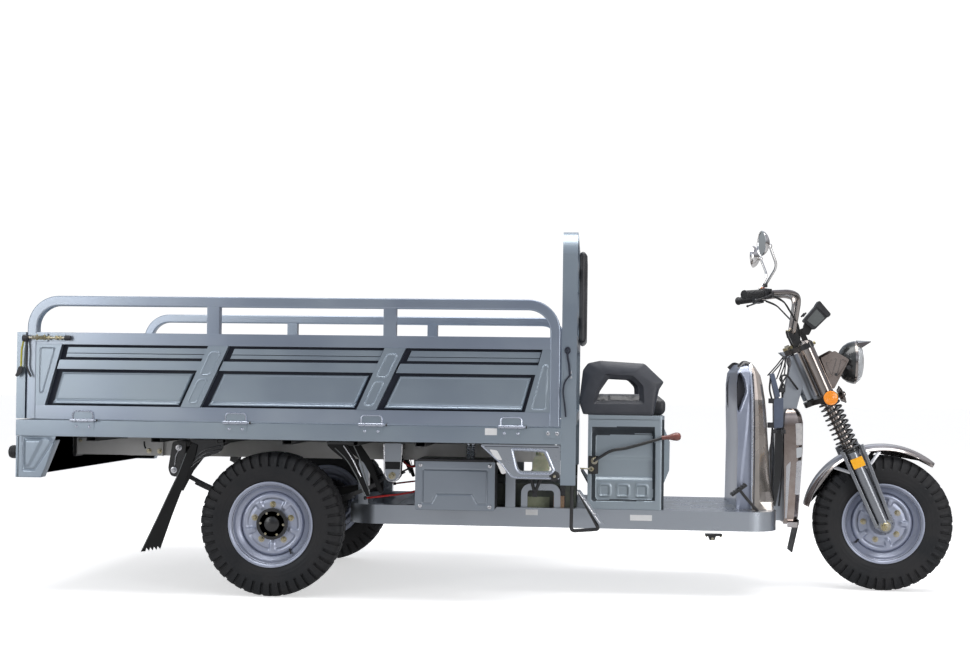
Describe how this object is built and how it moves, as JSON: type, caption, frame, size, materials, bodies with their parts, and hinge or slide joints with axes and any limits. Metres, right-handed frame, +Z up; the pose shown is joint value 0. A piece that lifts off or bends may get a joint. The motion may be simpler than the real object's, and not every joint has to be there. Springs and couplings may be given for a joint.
{
  "type": "electric cargo tricycle",
  "caption": "Three-wheeled cargo vehicle with a steered front wheel, a foot platform, a driver seat with armrests and a bed with drop sides, rails and a tailgate.",
  "frame": {"origin": "on the ground, midway along the length and across the width", "axes": "+X forward, +Y to the left, +Z up"},
  "size_m": [3.833, 1.444, 1.494],
  "materials": {
    "bed_paint": "metallic blue-grey paint, satin",
    "silver_paint": "metallic silver paint",
    "beam_paint": "light grey paint",
    "tread_plate": "patterned sheet",
    "black_plastic": "matt",
    "grey_plastic": "moulded, satin",
    "cream_plastic": "translucent",
    "black_vinyl": "vinyl cover",
    "black_steel": "black enamel",
    "zinc": "zinc plated",
    "chrome": "polished",
    "tyre": "rubber",
    "black_rubber": "matt",
    "red_lens": "clear red",
    "amber_lens": "clear amber",
    "clear_lens": "clear"
  },
  "bodies": {
    "chassis": {"armrests": "grey_plastic", "backrest_pad": "black_vinyl", "battery_pack": "black_plastic", "bed_fittings": "zinc", "bed_floor": "bed_paint", "bed_frame": "bed_paint", "brake_controls": "black_steel", "buffers": "black_rubber", "drive_motor": "black_steel", "fluid_bottle": "cream_plastic", "front_fairing": "silver_paint", "head_frame": "silver_paint", "headboard_hoop": "bed_paint", "headboard_panel": "bed_paint", "leaf_springs": "black_steel", "leg_shield_inner": "silver_paint", "leg_shield_outer": "silver_paint", "lower_frame": "bed_paint", "main_beams": "beam_paint", "mudflaps": "black_rubber", "platform_plate": "tread_plate", "rear_axle": "black_steel", "rear_bumper": "bed_paint", "seat_box": "bed_paint", "seat_cushion": "black_vinyl", "side_boxes": "bed_paint", "side_guards": "silver_paint", "spring_hangers": "black_steel", "steps": "black_steel", "tail_lamps": "red_lens"},
    "side_gate_right": {"side_gate_right": "bed_paint", "gate_fittings_right": "zinc"},
    "side_gate_left": {"side_gate_left": "bed_paint", "gate_fittings_left": "zinc"},
    "tailgate": {"tailgate": "bed_paint", "tailgate_hinges": "zinc"},
    "steering": {"steering_stem": "black_steel", "fork_tubes": "chrome", "fork_springs": "black_steel", "fork_legs": "silver_paint", "front_axle": "zinc", "front_fender": "chrome", "handlebar": "chrome", "hand_grips": "black_rubber", "mirrors": "chrome", "instrument": "black_plastic", "headlight": "black_plastic", "headlight_lens": "clear_lens", "turn_signals": "amber_lens"},
    "rear_wheel_right": {"tyre_rear_right": "tyre", "rim_rear_right": "silver_paint", "hub_rear_right": "black_steel"},
    "rear_wheel_left": {"tyre_rear_left": "tyre", "rim_rear_left": "silver_paint", "hub_rear_left": "black_steel"},
    "front_wheel": {"tyre_front": "tyre", "rim_front": "silver_paint", "hub_front": "black_steel"}
  },
  "joints": [
    {"name": "rear_wheel_right_spin", "type": "hinge", "parent": "chassis", "child": "rear_wheel_right", "pos_m": [-0.8465, -0.563, 0.284], "axis": [0, 1, 0], "continuous": true},
    {"name": "rear_wheel_left_spin", "type": "hinge", "parent": "chassis", "child": "rear_wheel_left", "pos_m": [-0.8465, 0.563, 0.284], "axis": [0, 1, 0], "continuous": true},
    {"name": "steering_turn", "type": "hinge", "parent": "chassis", "child": "steering", "pos_m": [1.57121, 0, 0.25836], "axis": [-0.4067, 0, 0.9135], "range_deg": [-33, 43]},
    {"name": "front_wheel_spin", "type": "hinge", "parent": "steering", "child": "front_wheel", "pos_m": [1.63127, -0.00575, 0.2851], "axis": [0.0796, 0.9962, 0.0354], "continuous": true},
    {"name": "side_gate_right_hinge", "type": "hinge", "parent": "chassis", "child": "side_gate_right", "pos_m": [0, -0.712, 0.6845], "axis": [1, 0, 0], "range_deg": [0, 165]},
    {"name": "side_gate_left_hinge", "type": "hinge", "parent": "chassis", "child": "side_gate_left", "pos_m": [0, 0.712, 0.6845], "axis": [-1, 0, 0], "range_deg": [0, 165]},
    {"name": "tailgate_hinge", "type": "hinge", "parent": "chassis", "child": "tailgate", "pos_m": [-1.8585, 0, 0.6845], "axis": [0, -1, 0], "range_deg": [0, 150]}
  ]
}
